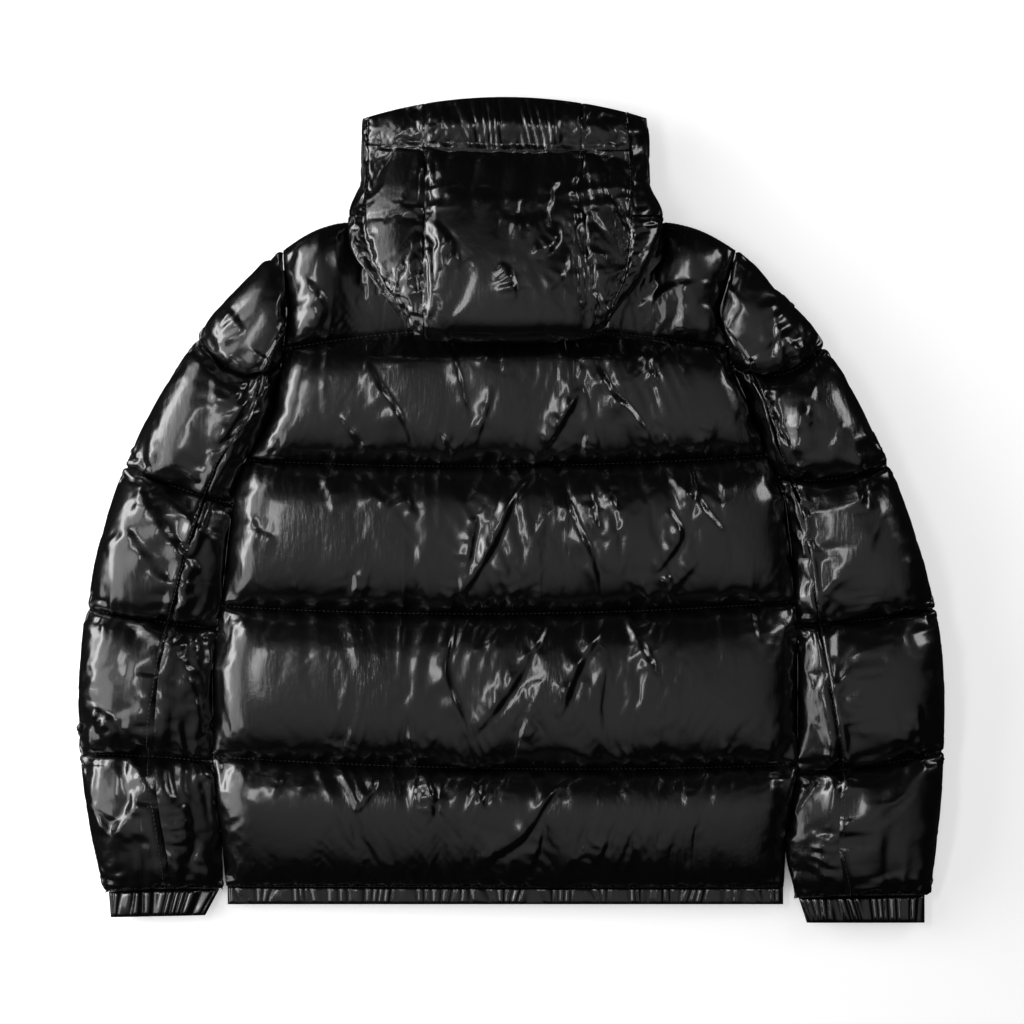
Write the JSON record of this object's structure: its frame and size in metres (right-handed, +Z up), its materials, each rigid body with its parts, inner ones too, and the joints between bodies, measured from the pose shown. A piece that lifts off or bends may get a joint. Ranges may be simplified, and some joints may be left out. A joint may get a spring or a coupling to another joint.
{
  "type": "hooded puffer jacket",
  "caption": "Glossy black hooded puffer jacket lying face down, back up: quilted baffles, hood folded onto the back, gathered hem and cuffs, closed front zip with a pull tab.",
  "frame": {"origin": "centre of the outline, on the surface the jacket lies on", "axes": "+Z up out of the back, +Y from the hem to the hood, +X to the wearer's right sleeve"},
  "size_m": [0.8632, 0.8265, 0.1183],
  "materials": {
    "black_gloss_nylon": "high-gloss coated nylon over down",
    "zip_tape": "matt woven tape",
    "gunmetal": "dark satin metal"
  },
  "bodies": {
    "jacket": {"back": "black_gloss_nylon", "front_left": "black_gloss_nylon", "front_right": "black_gloss_nylon", "hem_band": "black_gloss_nylon", "sleeve_left_outer": "black_gloss_nylon", "sleeve_left_under": "black_gloss_nylon", "sleeve_right_outer": "black_gloss_nylon", "sleeve_right_under": "black_gloss_nylon", "cuff_left": "black_gloss_nylon", "cuff_right": "black_gloss_nylon", "hood_centre": "black_gloss_nylon", "hood_side_left": "black_gloss_nylon", "hood_side_right": "black_gloss_nylon", "hood_neck_left": "black_gloss_nylon", "hood_neck_right": "black_gloss_nylon", "collar_left": "black_gloss_nylon", "collar_right": "black_gloss_nylon", "zip_tape_left": "zip_tape", "zip_tape_right": "zip_tape", "zip_chain": "gunmetal", "zip_slider": "gunmetal"},
    "zip_pull": {"zip_pull": "gunmetal"}
  },
  "joints": [
    {"name": "pull_hinge", "type": "hinge", "parent": "jacket", "child": "zip_pull", "pos_m": [-0.00555, 0.32575, 0.0271], "axis": [1, 0, 0], "range_deg": [-75, 75]}
  ]
}
